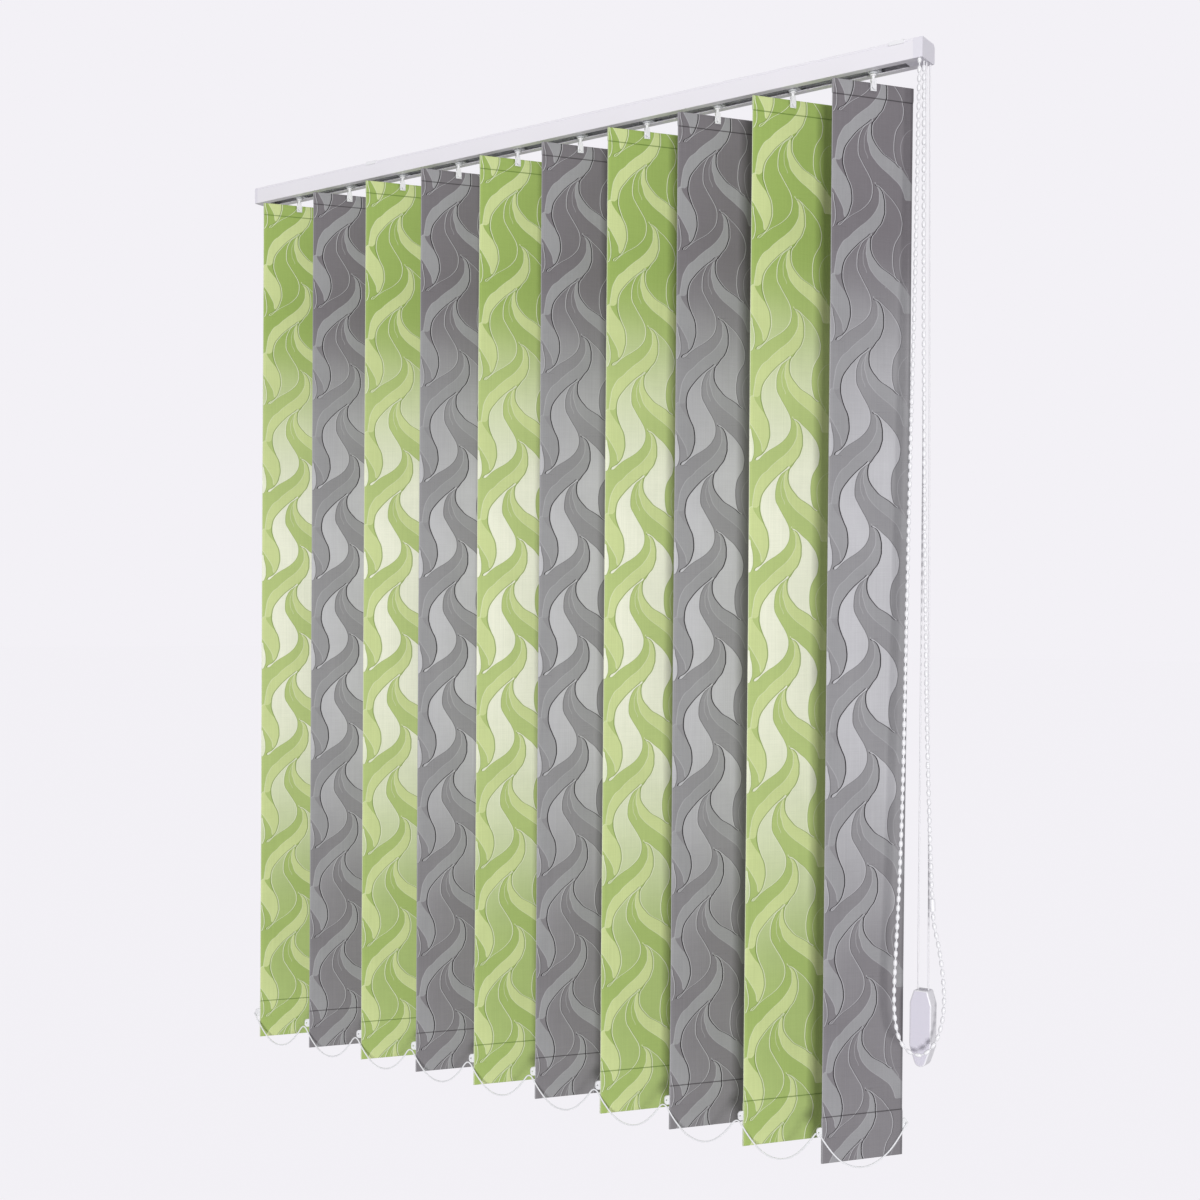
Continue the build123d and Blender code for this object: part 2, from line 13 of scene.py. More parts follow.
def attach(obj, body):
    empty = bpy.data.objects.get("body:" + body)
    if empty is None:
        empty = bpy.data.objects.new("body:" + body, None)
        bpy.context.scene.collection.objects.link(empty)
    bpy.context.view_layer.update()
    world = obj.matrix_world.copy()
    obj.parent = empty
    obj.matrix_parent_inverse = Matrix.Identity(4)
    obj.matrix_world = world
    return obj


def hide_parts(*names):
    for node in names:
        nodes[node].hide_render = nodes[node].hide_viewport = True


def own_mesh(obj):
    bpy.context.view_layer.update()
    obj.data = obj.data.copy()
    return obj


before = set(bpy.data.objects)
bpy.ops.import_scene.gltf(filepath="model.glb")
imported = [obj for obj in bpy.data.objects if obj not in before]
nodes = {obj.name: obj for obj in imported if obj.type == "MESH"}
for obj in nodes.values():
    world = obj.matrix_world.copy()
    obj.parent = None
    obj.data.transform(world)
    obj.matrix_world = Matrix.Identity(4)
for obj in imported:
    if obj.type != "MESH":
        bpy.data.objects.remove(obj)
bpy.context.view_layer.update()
MM = 0.001

# Sizes that the CAD has too, in millimetres
RAIL_RIGHT = 484.0
SLATS = 10
PITCH = 115.4
FIRST_SLAT = -629.6
TILT = math.radians(57.7)
SLAT_WIDTH = 127.0
SLAT_TOP = -41.4
SLAT_DROP = 1444.0
TOP_SLEEVE = 20.0
LOW_SLEEVE = 62.0
SLEEVE_EASE = 4.0
FABRIC = 0.5
LAYER_Y = 1.05  # from a sleeve's middle to the middle of its fabric
NOTCH_HALF = 5.0
NOTCH_DEPTH = 10.8
EAR_TIP = 71.5
EAR_Z = -1442.9
CHAIN_SAG = 46.0
CHAIN_R = 1.1
BEAD_PITCH = 12.0
SPROCKET_R = 7.637
ROD_Y = -9.5
SHAFT_Z = -14.45
CORD_Z = -8.0
CORD_FRONT, CORD_REAR = 4.0, 16.0
RETURN_X = -709.0
TURN_X = 480.0
WEIGHT_X = 487.2
WEIGHT_HALF = 7.25  # from the weight's middle to each run of the cord
WEIGHT_LOW = -1283.2
CORD_END = 0.5  # from the clamp's middle to an end of the cord
CORD_R = 1.0

# Camera
CAMERA_AT = (1.2664, -2.0544, -0.770)
CAMERA_YAW, CAMERA_PITCH, CAMERA_ROLL = 38.3132, -0.9138, 0.3514
SENSOR, LENS = 36.0, 47.889
SHIFT = (0.1502, 0.0430)

# Light: the world's strength where it lights, and the one lamp
AMBIENT = 0.485
KEY_AT, KEY_AIM = (6.65, -9.92, -0.5), (-0.1, 0, -0.75)
KEY_WATTS, KEY_SIDE = 850, 1.7
FLOOR_HALF, FLOOR_Z = 90.0, -2.4


# ---------------------------------------------------------------- camera
def make_camera():
    yaw, pitch, roll = (math.radians(a) for a in (CAMERA_YAW, CAMERA_PITCH, CAMERA_ROLL))
    ahead = Vector((-math.sin(yaw) * math.cos(pitch), math.cos(yaw) * math.cos(pitch),
                    math.sin(pitch)))
    right = Vector((math.cos(yaw), math.sin(yaw), 0))
    up = right.cross(ahead)
    side = right * math.cos(roll) + up * math.sin(roll)
    top = up * math.cos(roll) - right * math.sin(roll)
    data = bpy.data.cameras.new("camera")
    data.sensor_width, data.lens = SENSOR, LENS
    data.shift_x, data.shift_y = SHIFT
    data.clip_start, data.clip_end = 0.05, 200.0
    cam = bpy.data.objects.new("camera", data)
    bpy.context.scene.collection.objects.link(cam)
    cam.matrix_world = Matrix.Translation(CAMERA_AT) @ Matrix(
        (side, top, -ahead)).transposed().to_4x4()
    bpy.context.scene.camera = cam


make_camera()


# ---------------------------------------------------------------- node helpers
class Nodes:
    """A material's node tree, with short calls for the nodes used here."""

    def __init__(self, name):
        self.mat = bpy.data.materials.new(name)
        self.mat.use_nodes = True
        self.tree = self.mat.node_tree
        self.shader = next(n for n in self.tree.nodes if n.type == "BSDF_PRINCIPLED")
        self.coord = None

    def add(self, kind, **settings):
        node = self.tree.nodes.new("ShaderNode" + kind)
        for key, value in settings.items():
            setattr(node, key, value)
        return node

    def put(self, socket, value):
        """Links an output, or sets a constant."""
        if isinstance(value, bpy.types.NodeSocket):
            self.tree.links.new(value, socket)
        elif socket.type == "RGBA" and len(value) == 3:
            socket.default_value = (*value, 1.0)
        else:
            socket.default_value = value

    def math(self, kind, *values, clamp=False):
        node = self.add("Math", operation=kind, use_clamp=clamp)
        for socket, value in zip(node.inputs, values):
            self.put(socket, value)
        return node.outputs[0]

    def ramp(self, value, low, high, out_low=0.0, out_high=1.0):
        """A smooth step from out_low to out_high as value goes from low to high."""
        node = self.add("MapRange", interpolation_type="SMOOTHSTEP")
        for socket, number in zip(node.inputs[:5], (value, low, high, out_low, out_high)):
            self.put(socket, number)
        return node.outputs[0]

    def mix(self, share, a, b, blend="MIX"):
        node = self.add("Mix", data_type="RGBA", blend_type=blend)
        self.put(node.inputs[0], share)
        self.put(node.inputs[6], a)
        self.put(node.inputs[7], b)
        return node.outputs[2]

    def place(self, scale=(1, 1, 1)):
        """Object coordinates in metres, stretched."""
        if self.coord is None:
            self.coord = self.add("TexCoord").outputs["Object"]
        node = self.add("Mapping")
        self.put(node.inputs["Vector"], self.coord)
        node.inputs["Scale"].default_value = scale
        return node.outputs[0]

    def noise(self, scale, detail=2.0, stretch=(1, 1, 1), rough=0.5):
        node = self.add("TexNoise")
        self.put(node.inputs["Vector"], self.place(stretch))
        node.inputs["Scale"].default_value = scale
        node.inputs["Detail"].default_value = detail
        node.inputs["Roughness"].default_value = rough
        return node.outputs["Fac"]

    def bump(self, height, distance, strength=1.0, before=None):
        node = self.add("Bump")
        node.inputs["Strength"].default_value = strength
        node.inputs["Distance"].default_value = distance
        self.put(node.inputs["Height"], height)
        if before is not None:
            self.put(node.inputs["Normal"], before)
        return node.outputs[0]

    def set(self, **sockets):
        """Sets the shader's sockets, such as Base_Color=…; a number or an output."""
        for key, value in sockets.items():
            self.put(self.shader.inputs[key.replace("_", " ")], value)
        return self.mat


def linear(code):
    """A linear colour from six hex digits."""
    parts = [int(code[i:i + 2], 16) / 255 for i in (0, 2, 4)]
    return tuple(c / 12.92 if c <= 0.04045 else ((c + 0.055) / 1.055) ** 2.4 for c in parts)


# ---------------------------------------------------------------- the fabric's leaf pattern
# Each leaf is (left edge, right edge): points (down the repeat, across the slat), in mm
REPEAT = 152.0
PATTERN_TOP = 47.0  # from the slat's top to the first branching point
ACROSS = 140.0
NOWHERE = 0.006  # share of the repeat over which a leaf's edges cross, to end it
OFF_LEFT, OFF_VEIN = -10.0, -30.0  # where an ended right edge and an ended vein lie
EDGE_SOFT = 0.8  # over which a leaf fades in
LINE_IN, LINE_OUT = 0.4, -1.0  # the light line just inside an edge, the dark one outside
LEAF_A = ([(7, 60), (9, 58), (19, 55), (28, 54.5), (37, 57), (47, 60.5), (55, 67), (63, 76),
           (69, 85), (77, 97), (85, 107), (95, 113), (104, 117)],
          [(7, 61), (16, 62), (24, 63.5), (31, 67), (38, 73), (45, 81), (50, 90), (55, 99),
           (62, 109), (67, 114), (76, 122), (87, 130), (104, 131)])
LEAF_C = ([(84, 67), (90, 71), (99, 74.5), (108, 74.5), (119, 71), (128, 65), (137, 56),
           (145, 45), (153, 35), (160, 28), (167, 19), (176, 13), (185, 9), (193, 7.5),
           (202, 6), (212, 5)],
          [(84, 68), (87, 70), (91, 76), (96, 80.5), (104, 83.5), (113, 85), (122, 85), (130, 83),
           (139, 79), (146, 73), (153, 63), (163, 50), (171, 40.5), (182, 30), (193, 22),
           (202, 19), (209, 16), (214, 6)])
LEAF_D = ([(58, 4), (70, -3), (90, -3), (101, 4), (107, 8), (113, 12), (124, 18), (135, 21)],
          [(58, 5), (65, 9), (72, 14), (79, 20), (83, 24.5), (93, 30), (102, 32), (110, 32.5),
           (121, 30.5), (131, 26.5), (137, 21.5)])
LEAF_E = ([(104, -9), (125, -9), (149, -9)],
          [(104, 2), (112, 3.5), (122, 6), (134, 7), (143, 5.5), (150, 1)])
LEAF_G = ([(1, 63), (5, 58), (11, 50), (19, 40.5), (30, 30), (41, 22), (50, 19), (61, 18),
           (71, 20), (82, 24.5), (93, 30), (102, 32), (110, 32.5), (121, 30.5), (131, 26.5),
           (138, 20.5), (147, 10)],
          [(1, 64), (8, 56.5), (13, 50), (21, 45), (30, 42), (41, 41), (50, 42), (59, 47),
           (68, 53), (77, 59), (85, 63), (94, 64.5), (102, 63.5), (110, 60), (118, 53),
           (125, 43.5), (131, 33), (137, 24), (148, 10)])
LEAF_H = ([(87, 69), (91, 76), (96, 80.5), (104, 83.5), (113, 85), (122, 85), (130, 83),
           (139, 79), (146, 73), (153, 68), (157, 64.5), (168, 62.5), (176, 63.5), (183, 67),
           (190, 73), (197, 80.5), (202, 90), (207, 99), (214, 109)],
          [(87, 70), (91, 78), (97, 85.5), (104, 94.5), (111, 101), (119, 107), (128, 110.5),
           (136, 112), (144, 111), (151, 109), (157, 105), (165, 100.5), (176, 98), (184, 97.5),
           (193, 98), (202, 100), (209, 103), (215, 110)])
VEINS = [[(6, 127), (11, 120), (16, 115), (22, 111), (34, 108), (48, 109.5), (62, 114),
          (75, 121)],
         [(4, 60), (12, 56.5), (20, 52.5), (30, 50), (42, 51), (54, 56)]]


def edge_curve(n, t, points, gone):
    """How far across the slat an edge lies, as a Float Curve over the repeat."""
    node = n.add("FloatCurve")
    curve = node.mapping.curves[0]
    start, end = points[0][0] / REPEAT, points[-1][0] / REPEAT
    spots = [((d / REPEAT) % 1.0, u / ACROSS) for d, u in points if d != REPEAT]
    if start < 1.0 < end:  # the leaf runs over the repeat's end
        before = [p for p in points if p[0] < REPEAT][-1]
        after = [p for p in points if p[0] > REPEAT][0]
        share = (REPEAT - before[0]) / (after[0] - before[0])
        middle = (before[1] + (after[1] - before[1]) * share) / ACROSS
        spots += [(0.0, middle), (1.0, middle)]
        gaps = (end % 1.0 + NOWHERE, start - NOWHERE)
    else:
        gaps = (end + NOWHERE, start - NOWHERE, 0.0, 1.0)
    spots += [(g, gone / ACROSS) for g in gaps if 0.0 <= g <= 1.0]
    spots.sort()
    while len(curve.points) > 2:
        curve.points.remove(curve.points[1])
    curve.points[0].location, curve.points[-1].location = spots[0], spots[-1]
    for spot in spots[1:-1]:
        curve.points.new(*spot)
    for point in curve.points:
        point.handle_type = "AUTO_CLAMPED"
    node.mapping.use_clip = False
    node.mapping.update()
    node.inputs["Factor"].default_value = 1.0
    n.put(node.inputs["Value"], t)
    return n.math("MULTIPLY", node.outputs[0], ACROSS)


def leaf_sides(n, t, u, leaf):
    """How far a point is right of a leaf's left edge, and left of its right edge, in mm."""
    left = edge_curve(n, t, leaf[0], ACROSS)
    right = edge_curve(n, t, leaf[1], OFF_LEFT)
    return n.math("SUBTRACT", u, left), n.math("SUBTRACT", right, u)


def largest(n, values):
    result = values[0]
    for value in values[1:]:
        result = n.math("MAXIMUM", result, value)
    return result


def band(n, value, middle, half):
    """1 where a value is near the middle, falling to 0 a little beyond half the width."""
    return n.ramp(n.math("ABSOLUTE", n.math("SUBTRACT", value, middle)), half - 0.3, half + 0.4,
                  1.0, 0.0)


def fabric(name, tones, lift, outline):
    """Woven slat cloth: a ground, matt leaves, satin leaves, outlines, seams and cut edges.

    tones are the ground, its dark thread, the matt leaves and the light thread; the light
    thread's tone is also the colour of the painted highlight on the satin leaves. A broad
    highlight at mid-height is painted into the colour: lift is how far it takes the ground
    towards the matt leaves' tone, and it takes the satin leaves towards the light thread's
    tone.
    """
    base, dim, leaf, bright = (linear(tone) for tone in tones)
    n = Nodes(name)
    split = n.add("SeparateXYZ")
    n.put(split.inputs[0], n.place())
    wobble = n.math("MULTIPLY", n.math("SUBTRACT", n.noise(30.0), 0.5), 2.0)
    across = n.math("MULTIPLY_ADD", split.outputs["X"], 1000.0, SLAT_WIDTH / 2)
    u = n.math("ADD", across, wobble)
    down = n.math("MULTIPLY", split.outputs["Z"], -1000.0)
    t = n.math("FRACT", n.math("DIVIDE", n.math("SUBTRACT", down, PATTERN_TOP - REPEAT), REPEAT))
    matt = [leaf_sides(n, t, u, x) for x in (LEAF_A, LEAF_C, LEAF_D)]
    satin = [leaf_sides(n, t, u, x) for x in (LEAF_E, LEAF_G, LEAF_H)]
    matt_in = largest(n, [n.math("MINIMUM", *x) for x in matt])
    satin_in = largest(n, [n.math("MINIMUM", *x) for x in satin])
    matt_mask = n.ramp(matt_in, 0.0, EDGE_SOFT)
    satin_mask = n.ramp(satin_in, -0.1, 0.7)
    veins = [n.math("SUBTRACT", u, edge_curve(n, t, x, OFF_VEIN)) for x in VEINS]
    light = largest(n, [band(n, satin_in, LINE_IN, 0.5)]
                    + [n.math("MULTIPLY", band(n, x[0], LINE_IN, 0.5), 0.6) for x in matt]
                    + [n.math("MULTIPLY", band(n, x, 0.0, 0.4), 0.5) for x in veins])
    dark = largest(n, [band(n, x[0], LINE_OUT, 0.8) for x in satin]
                   + [n.math("MULTIPLY", band(n, x[1], -0.8, 0.5), 0.45) for x in satin])
    dark = n.math("MULTIPLY", dark, n.math("SUBTRACT", 1.0, satin_mask))
    seam = n.math("MINIMUM", n.math("ABSOLUTE", n.math("SUBTRACT", down, TOP_SLEEVE)),
                  n.math("ABSOLUTE", n.math("SUBTRACT", down, SLAT_DROP - LOW_SLEEVE)))
    seam = n.ramp(seam, 0.4, 1.1, 1.0, 0.0)
    cut = n.ramp(n.math("ABSOLUTE", n.math("SUBTRACT", across, SLAT_WIDTH / 2)), 62.3, 63.0)
    # Painted highlight down the drop: none near the top, full over the middle, fading towards the
    # bottom; the satin leaves' share starts lower and fades further.
    ground_painted_highlight = n.math("MULTIPLY", n.ramp(down, 190.0, 380.0), n.ramp(down, 900, 1250, 1, 0.3))
    satin_painted_highlight = n.math("MULTIPLY", n.ramp(down, 220.0, 560.0), n.ramp(down, 800, 1260, 1, 0.05))
    warp = n.noise(1.0, 2.0, (900, 900, 12), 0.6)
    weft = n.noise(1.0, 2.0, (25, 25, 1600), 0.6)
    thread = n.math("MULTIPLY", n.math("ADD", warp, weft), 0.5)
    cloud = n.noise(14.0, 3.0)
    # Painted highlight on the ground, towards the matt leaves' tone.
    colour = n.mix(n.math("MULTIPLY", ground_painted_highlight, lift), base, leaf)
    colour = n.mix(matt_mask, colour, leaf)
    # Painted highlight on the satin leaves, towards the light thread's tone.
    colour = n.mix(n.math("MULTIPLY", satin_mask, satin_painted_highlight), colour, bright)
    colour = n.mix(n.math("MULTIPLY", light, 0.8), colour, bright)
    colour = n.mix(n.math("MULTIPLY", dark, outline), colour, dim)
    colour = n.mix(n.ramp(thread, 0.35, 0.65, 0.1, 0.0), colour, dim)
    colour = n.mix(n.ramp(cloud, 0.3, 0.7, 0.08, 0.0), colour, dim)
    colour = n.mix(n.math("MULTIPLY", seam, 0.7), colour, dim)
    colour = n.mix(n.math("MULTIPLY", cut, 0.5), colour, bright)
    rough = n.math("SUBTRACT", 0.85, n.math("MULTIPLY", satin_mask, 0.3))
    rough = n.math("MULTIPLY_ADD", n.math("SUBTRACT", thread, 0.5), 0.12, rough)
    weave = n.bump(thread, 0.00012, 0.35)
    raised = n.math("ADD", n.math("MULTIPLY", matt_mask, 0.5), light)
    raised = n.math("SUBTRACT", raised, n.math("ADD", dark, seam))
    normal = n.bump(raised, 0.00015, 0.6, weave)
    n.shader.inputs["Specular IOR Level"].default_value = 0.2
    return n.set(Base_Color=colour, Roughness=rough, Normal=normal)


GREEN = fabric("slat_cloth_green", ("A5BE68", "5F7A34", "D6E3A0", "FAFCE6"), 0.5, 0.55)
GREY = fabric("slat_cloth_grey", ("807C80", "343033", "A3A3A5", "CBCBCE"), 0.75, 1.0)


# ---------------------------------------------------------------- plastics and metals
DRAWN = (30, 600, 600)  # draw lines along X


def painted(name, colour, rough, coat):
    """Painted extrusion: faint draw lines along X and a slightly uneven gloss."""
    n = Nodes(name)
    lines = n.noise(1.0, 2.0, DRAWN)
    cloud = n.noise(9.0, 3.0)
    tint = n.mix(n.ramp(cloud, 0.3, 0.7, 0.0, 0.06), colour, tuple(c * 0.9 for c in colour))
    n.shader.inputs["Coat Weight"].default_value = coat
    n.shader.inputs["Coat Roughness"].default_value = 0.25
    return n.set(Base_Color=tint, Normal=n.bump(lines, 0.00002, 0.4),
                 Roughness=n.math("MULTIPLY_ADD", n.math("SUBTRACT", cloud, 0.5), 0.12, rough))


def moulded(name, colour, rough, clear=0.0, glow=0.1):
    """Moulded plastic: fine orange peel, a little light inside, faint flow marks."""
    n = Nodes(name)
    peel = n.noise(900.0, 2.0)
    flow = n.noise(60.0, 3.0, (1, 1, 0.3))
    tint = n.mix(n.ramp(flow, 0.35, 0.7, 0.0, 0.12), colour, tuple(c * 0.88 for c in colour))
    n.shader.inputs["Subsurface Weight"].default_value = glow
    n.shader.inputs["Subsurface Radius"].default_value = (0.003, 0.003, 0.003)
    n.shader.inputs["Subsurface Scale"].default_value = 1.0
    n.shader.inputs["Transmission Weight"].default_value = clear
    n.shader.inputs["IOR"].default_value = 1.46
    return n.set(Base_Color=tint, Normal=n.bump(peel, 0.00002, 0.3),
                 Roughness=n.ramp(flow, 0.3, 0.7, rough - 0.05, rough + 0.05))


def metal(name, colour, rough, grain):
    """Bare metal with fine lines along its grain."""
    n = Nodes(name)
    lines = n.noise(1.0, 3.0, grain)
    n.shader.inputs["Metallic"].default_value = 1.0
    tint = n.mix(n.ramp(lines, 0.3, 0.7), colour, tuple(c * 0.85 for c in colour))
    return n.set(Base_Color=tint, Normal=n.bump(lines, 0.00003, 0.4),
                 Roughness=n.ramp(lines, 0.3, 0.7, rough - 0.06, rough + 0.08))


def cord_fibre(name, colour, rough, twist):
    """Braided or extruded cord, with fine strands round it."""
    n = Nodes(name)
    strands = n.noise(twist, 2.0, (1, 1, 0.6))
    tint = n.mix(n.ramp(strands, 0.35, 0.65, 0.0, 0.3), colour, tuple(c * 0.78 for c in colour))
    n.shader.inputs["Sheen Weight"].default_value = 0.1
    return n.set(Base_Color=tint, Roughness=rough, Normal=n.bump(strands, 0.0002, 0.5))


RAIL = painted("rail_paint", linear("F4F2F7"), 0.36, 0.15)
CAP = moulded("cap_plastic", linear("ECEAF2"), 0.4)
BRACKET = painted("bracket_paint", linear("F6F6F8"), 0.3, 0.2)
CLIP = moulded("clip_plastic", linear("F3F4F6"), 0.32, glow=0.25)
CARRIER = moulded("carrier_plastic", linear("EDEFF2"), 0.25, clear=0.25)
HOOK = moulded("hook_plastic", linear("FAFAFC"), 0.2, glow=0.2)
WHEEL = moulded("wheel_plastic", linear("EDEEF0"), 0.35)
ROD = metal("rod_aluminium", linear("C9CBD0"), 0.3, (15, 900, 900))
CORD = cord_fibre("cord_polyester", linear("F4F3F6"), 0.7, 1400.0)
BEADS = moulded("bead_plastic", linear("F7F7FA"), 0.22, glow=0.2)
CHAIN = cord_fibre("hem_chain_plastic", linear("F5F6F8"), 0.45, 1100.0)


def weight_material():
    """White plastic with painted shade: its flat faces are painted pale grey, its rounded rims
    whiter.
    """
    n = Nodes("weight_plastic")
    facing = n.add("NewGeometry").outputs["Normal"]
    split = n.add("SeparateXYZ")
    n.put(split.inputs[0], facing)
    # Painted shade by facing: faces that look along Y get the darker grey, the rounded rims stay
    # white.
    flat = n.ramp(n.math("ABSOLUTE", split.outputs["Y"]), 0.85, 0.99)
    peel = n.noise(700.0, 2.0)
    colour = n.mix(flat, linear("F2F1F5"), linear("DEDBE6"))
    n.shader.inputs["Subsurface Weight"].default_value = 0.1
    n.shader.inputs["Subsurface Radius"].default_value = (0.003, 0.003, 0.003)
    return n.set(Base_Color=colour, Roughness=n.ramp(peel, 0.3, 0.7, 0.28, 0.36),
                 Normal=n.bump(peel, 0.00002, 0.3))


WEIGHT = weight_material()


def paint(node, material):
    data = nodes[node].data
    data.materials.clear()
    data.materials.append(material)


for node, material in {
        "headrail": RAIL, "ceiling_brackets": BRACKET, "end_cap_return": CAP,
        "end_cap_control": CAP, "tilt_rod": ROD, "chain_sprocket": WHEEL,
        "return_pulley": WHEEL, "cord_pulley_front": WHEEL, "cord_pulley_rear": WHEEL,
        "cord_weight": WEIGHT, "weight_wheel": WHEEL, "draw_cord": CORD, "bead_chain": BEADS,
        "chain_connector": BEADS, "front_chain": CHAIN, "rear_chain": CHAIN,
        "tail_chain": CHAIN}.items():
    paint(node, material)
for i in range(1, SLATS + 1):
    paint(f"carrier_{i:02d}", CARRIER)
    paint(f"hook_{i:02d}", HOOK)
    paint(f"plates_{i:02d}", CLIP)
    paint(f"slat_{i:02d}", GREEN if i % 2 else GREY)


# ---------------------------------------------------------------- cords and chains
TUBE_SIDES, BEAD_SIDES, THREAD_SIDES = 8, 10, 6
THREAD_R = 0.0009
BEAD_HALF, BEAD_FAT = 0.0048, 0.0027  # half a bead's length, and its radius
BEAD_STEPS = 7
BEAD_START, BEAD_SPAN = 0.12, 0.76  # of half a turn: a bead's ends are cut off flat


def link(name, data):
    thing = bpy.data.objects.new(name, data)
    bpy.context.scene.collection.objects.link(thing)
    return thing


def nurbs(name, points, radius=0.0, material=None):
    """One open NURBS spline with these control points, in metres."""
    data = bpy.data.curves.new(name, "CURVE")
    data.dimensions = "3D"
    spline = data.splines.new("NURBS")
    spline.points.add(len(points) - 1)
    for spot, point in zip(spline.points, points):
        spot.co = (*point, 1.0)
    spline.order_u = 3
    spline.use_endpoint_u = True
    spline.resolution_u = 10
    data.resolution_u = 10
    data.bevel_depth = radius
    data.bevel_resolution = 3
    data.use_fill_caps = radius > 0
    if material:
        data.materials.append(material)
    return link(name, data)


def spline_points(points):
    """The points of the NURBS line through a route, read from a curve with no bevel."""
    thing = nurbs("route", points)
    bpy.context.view_layer.update()
    shape = bpy.data.meshes.new_from_object(thing)
    line = [v.co.copy() for v in shape.vertices]
    bpy.data.objects.remove(thing)
    bpy.data.meshes.remove(shape)
    return line


def frames_along(line):
    """A tangent and two normals at each point, carried along without twisting."""
    out, normal = [], None
    for i, p in enumerate(line):
        ahead = line[min(i + 1, len(line) - 1)] - line[max(i - 1, 0)]
        ahead.normalize()
        if normal is None:
            normal = ahead.orthogonal().normalized()
        normal = (normal - ahead * normal.dot(ahead)).normalized()
        out.append((p, ahead, normal, ahead.cross(normal)))
    return out


def add_rings(mesh, rings):
    """Joins rings of points into a skin, closed at both ends."""
    made = [[mesh.verts.new(p) for p in ring] for ring in rings]
    count = len(made[0])
    for a, b in zip(made, made[1:]):
        for k in range(count):
            mesh.faces.new((a[k], a[(k + 1) % count], b[(k + 1) % count], b[k]))
    mesh.faces.new(list(reversed(made[0])))
    mesh.faces.new(made[-1])


def ring(spot, radius, sides):
    p, _, n1, n2 = spot
    return [p + (n1 * math.cos(a) + n2 * math.sin(a)) * radius
            for a in (2 * math.pi * k / sides for k in range(sides))]


def finish_mesh(name, mesh, material):
    bmesh.ops.recalc_face_normals(mesh, faces=mesh.faces)
    data = bpy.data.meshes.new(name)
    mesh.to_mesh(data)
    mesh.free()
    for face in data.polygons:
        face.use_smooth = True
    data.materials.append(material)
    return link(name, data)


def tube_mesh(name, line, radius, material):
    mesh = bmesh.new()
    add_rings(mesh, [ring(s, radius, TUBE_SIDES) for s in frames_along(line)])
    return finish_mesh(name, mesh, material)


def evenly(line, pitch, start):
    """Spots (as frames_along gives them) every pitch along the line."""
    spots, gone, want = [], 0.0, start
    placed = frames_along(line)
    for (p, a, n1, n2), (q, *_rest) in zip(placed, placed[1:]):
        step = (q - p).length
        while want <= gone + step and step > 0:
            spots.append((p.lerp(q, (want - gone) / step), a, n1, n2))
            want += pitch
        gone += step
    return spots


def bead_route():
    rear, front = ROD_Y + SPROCKET_R, ROD_Y - SPROCKET_R
    over = -(SHAFT_Z + SPROCKET_R)
    rows = [(20, -7, 1122), (17.5, -6.6, 1074), (14, -6, 1005), (9, -5, 880), (3.5, -3.8, 650),
            (-1.5, -2.6, 380), (-5.3, rear, 40), (-5.5, rear, over), (-5.5, front, over),
            (-5.5, front, 40), (-6, -21.5, 300), (-7.6, -29, 560), (-8.6, -33.5, 800),
            (-9.4, -36, 960), (-11.5, -37.6, 1080), (-14.5, -38.6, 1165), (-17, -39, 1225),
            (-17.6, -38.6, 1268), (-13, -36.6, 1302), (-2, -33.5, 1320), (16, -30, 1325),
            (30, -26, 1312), (39, -21, 1288), (41.5, -16.5, 1255), (37.5, -12.5, 1218),
            (30, -9.6, 1180), (22.2, -7.5, 1154), (21, -7.2, 1139)]
    return [Vector((RAIL_RIGHT + x, y, -z)) * MM for x, y, z in rows]


def make_bead_chain():
    """A thread with oval beads, from the connector over the sprocket and back to it."""
    line = spline_points(bead_route())
    mesh = bmesh.new()
    add_rings(mesh, [ring(s, THREAD_R, THREAD_SIDES) for s in frames_along(line)])
    for p, ahead, n1, n2 in evenly(line, BEAD_PITCH * MM, BEAD_PITCH * MM / 2):
        rings = []
        for k in range(BEAD_STEPS + 1):
            a = math.pi * (BEAD_START + BEAD_SPAN * k / BEAD_STEPS)
            rings.append(ring((p - ahead * BEAD_HALF * math.cos(a), ahead, n1, n2),
                              BEAD_FAT * math.sin(a) ** 0.8, BEAD_SIDES))
        add_rings(mesh, rings)
    chain = finish_mesh("tilt_chain", mesh, BEADS)
    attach(chain, "headrail_set")
    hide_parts("bead_chain")


def make_draw_cord():
    """The traverse cord: clamp, return pulley, rail, pulleys and weight."""
    level, front, rear = CORD_Z, CORD_FRONT, CORD_REAR
    mid = (front + rear) / 2
    back, over, low = RETURN_X, TURN_X, WEIGHT_LOW
    near = 12.0  # from a wheel to the extra point on a long run
    left, right = WEIGHT_X - WEIGHT_HALF, WEIGHT_X + WEIGHT_HALF
    rows = [(FIRST_SLAT - CORD_END, rear, level), (back + near, rear, level),
            (back, rear, level),
            (back, front, level), (back + near, front, level), (over - near, front, level),
            (over, front, level), (over, front + 0.1, level - near),
            (left, mid - 0.1, low + near), (left, mid, low), (right, mid, low),
            (right - 0.1, mid + 0.1, low + near), (over + 0.1, rear - 0.1, level - near),
            (over, rear, level), (over - near, rear, level),
            (FIRST_SLAT + CORD_END, rear, level)]
    points = [Vector(r) * MM for r in rows]
    rope = nurbs("traverse_cord", points, CORD_R * MM, CORD)
    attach(rope, "headrail_set")
    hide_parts("draw_cord")


